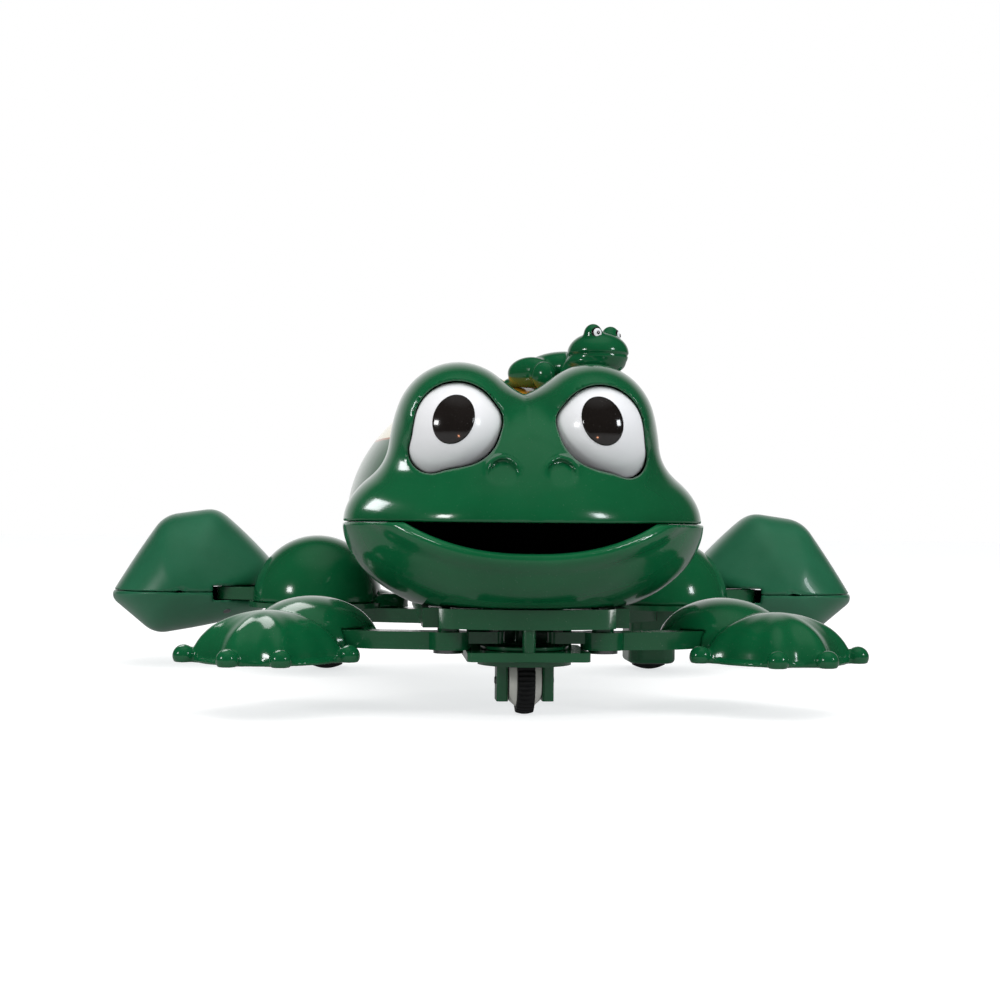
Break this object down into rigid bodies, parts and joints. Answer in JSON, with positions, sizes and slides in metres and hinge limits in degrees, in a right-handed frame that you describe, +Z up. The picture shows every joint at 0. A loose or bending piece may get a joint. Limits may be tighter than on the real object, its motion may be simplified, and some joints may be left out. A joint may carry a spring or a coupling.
{
  "type": "wind-up swimming frog toy",
  "caption": "Wheeled clockwork frog whose arms and webbed hind legs kick as it rolls, with a small frog riding on its back.",
  "frame": {"origin": "on the floor, under the middle of the toy's bounding box", "axes": "+Z up, -Y the way the frog faces, +X the frog's left"},
  "size_m": [0.3072, 0.26, 0.1252],
  "materials": {
    "shell_green": "glossy injection moulded polystyrene",
    "chassis_green": "glossy injection moulded chassis plastic",
    "eye_white": "glossy white",
    "pupil_black": "glossy dark brown-black",
    "mouth_dark": "dark green, moulded",
    "hub_grey": "light grey, moulded",
    "tyre_black": "ribbed black rubber",
    "steel": "bright steel",
    "brass": "stamped brass",
    "spring_steel": "blued spring steel",
    "white_plastic": "natural white nylon"
  },
  "bodies": {
    "chassis": {"head_shell": "shell_green", "jaw_shell": "shell_green", "mouth_liner": "mouth_dark", "back_shell": "shell_green", "belly_shell": "shell_green", "chassis_pan": "chassis_green", "steering_plate": "chassis_green", "plate_screws": "steel", "pivot_screws": "steel", "shell_screws": "steel", "left_eye_white": "eye_white", "right_eye_white": "eye_white", "left_pupil": "pupil_black", "right_pupil": "pupil_black", "baby_frog": "shell_green", "baby_eyes": "eye_white", "motor_plate_left": "steel", "motor_plate_right": "steel", "motor_pillars": "steel", "mainspring": "spring_steel"},
    "winder": {"winding_knob": "shell_green", "winding_arbor": "steel", "ratchet_wheel": "steel"},
    "great_gear": {"great_wheel": "brass", "click": "steel"},
    "first_gear": {"first_arbor": "steel", "first_wheel": "brass"},
    "crank": {"crank_arbor": "steel", "crank_wheel": "brass", "crank_disc": "white_plastic"},
    "governor": {"governor_arbor": "steel", "governor_fly": "white_plastic"},
    "slider": {"drive_slider": "white_plastic"},
    "steering_fork": {"front_fork": "chassis_green", "fork_keeper": "chassis_green", "front_axle": "steel"},
    "front_wheel": {"front_hub": "hub_grey", "front_tyre": "tyre_black"},
    "left_arm": {"left_arm_bar": "chassis_green", "left_hand_shell": "shell_green"},
    "left_thigh": {"left_thigh_frame": "chassis_green", "left_thigh_shell": "shell_green", "left_knee_pin": "steel", "left_roller_axle": "steel"},
    "left_foot": {"left_foot_upper": "shell_green", "left_foot_lower": "shell_green"},
    "left_roller": {"left_roller_hub": "hub_grey", "left_roller_tyre": "tyre_black"},
    "right_arm": {"right_arm_bar": "chassis_green", "right_hand_shell": "shell_green"},
    "right_thigh": {"right_thigh_frame": "chassis_green", "right_thigh_shell": "shell_green", "right_knee_pin": "steel", "right_roller_axle": "steel"},
    "right_foot": {"right_foot_upper": "shell_green", "right_foot_lower": "shell_green"},
    "right_roller": {"right_roller_hub": "hub_grey", "right_roller_tyre": "tyre_black"}
  },
  "joints": [
    {"name": "winding_turn", "type": "hinge", "parent": "chassis", "child": "winder", "pos_m": [0, -0.022, 0.092], "axis": [1, 0, 0], "continuous": true},
    {"name": "great_wheel_turn", "type": "hinge", "parent": "chassis", "child": "great_gear", "pos_m": [0, -0.022, 0.092], "axis": [1, 0, 0], "continuous": true},
    {"name": "first_gear_turn", "type": "hinge", "parent": "chassis", "child": "first_gear", "pos_m": [0, -0.014, 0.07723], "axis": [1, 0, 0], "continuous": true},
    {"name": "crank_turn", "type": "hinge", "parent": "chassis", "child": "crank", "pos_m": [0, 0, 0.06409], "axis": [1, 0, 0], "continuous": true},
    {"name": "governor_turn", "type": "hinge", "parent": "chassis", "child": "governor", "pos_m": [0, -0.014, 0.05095], "axis": [1, 0, 0], "continuous": true},
    {"name": "drive_slide", "type": "slide", "parent": "chassis", "child": "slider", "axis": [0, 1, 0], "range_m": [-0.0025, 0.0025]},
    {"name": "fork_swivel", "type": "hinge", "parent": "chassis", "child": "steering_fork", "pos_m": [0, -0.09, 0.0175], "axis": [0, 0, 1], "range_deg": [-40, 40]},
    {"name": "front_wheel_spin", "type": "hinge", "parent": "steering_fork", "child": "front_wheel", "pos_m": [0, -0.09, 0.0105], "axis": [1, 0, 0], "continuous": true},
    {"name": "left_arm_swing", "type": "hinge", "parent": "chassis", "child": "left_arm", "pos_m": [0.024, -0.095, 0.0218], "axis": [0, 0, 1], "range_deg": [-10.5, 10.5]},
    {"name": "left_thigh_swing", "type": "hinge", "parent": "chassis", "child": "left_thigh", "pos_m": [0.024, 0.042, 0.0218], "axis": [0, 0, 1], "range_deg": [-10.5, 10.5]},
    {"name": "left_knee", "type": "hinge", "parent": "left_thigh", "child": "left_foot", "pos_m": [0.106, 0.074, 0.0305], "axis": [0, 0, 1], "range_deg": [-12, 12]},
    {"name": "left_roller_spin", "type": "hinge", "parent": "left_thigh", "child": "left_roller", "pos_m": [0.066, 0.075, 0.01], "axis": [1, 0, 0], "continuous": true},
    {"name": "right_arm_swing", "type": "hinge", "parent": "chassis", "child": "right_arm", "pos_m": [-0.024, -0.095, 0.0218], "axis": [0, 0, 1], "range_deg": [-10.5, 10.5]},
    {"name": "right_thigh_swing", "type": "hinge", "parent": "chassis", "child": "right_thigh", "pos_m": [-0.024, 0.042, 0.0218], "axis": [0, 0, 1], "range_deg": [-10.5, 10.5]},
    {"name": "right_knee", "type": "hinge", "parent": "right_thigh", "child": "right_foot", "pos_m": [-0.106, 0.074, 0.0305], "axis": [0, 0, 1], "range_deg": [-12, 12]},
    {"name": "right_roller_spin", "type": "hinge", "parent": "right_thigh", "child": "right_roller", "pos_m": [-0.066, 0.075, 0.01], "axis": [1, 0, 0], "continuous": true}
  ],
  "couplings": [
    {"joint": "first_gear_turn", "follows": "crank_turn", "ratio": -0.33333},
    {"joint": "great_wheel_turn", "follows": "crank_turn", "ratio": 0.13333},
    {"joint": "governor_turn", "follows": "crank_turn", "ratio": -3},
    {"joint": "left_arm_swing", "follows": "drive_slide", "rad_per_m": -71.429},
    {"joint": "left_thigh_swing", "follows": "drive_slide", "rad_per_m": -71.429},
    {"joint": "right_arm_swing", "follows": "drive_slide", "rad_per_m": 71.429},
    {"joint": "right_thigh_swing", "follows": "drive_slide", "rad_per_m": 71.429}
  ]
}
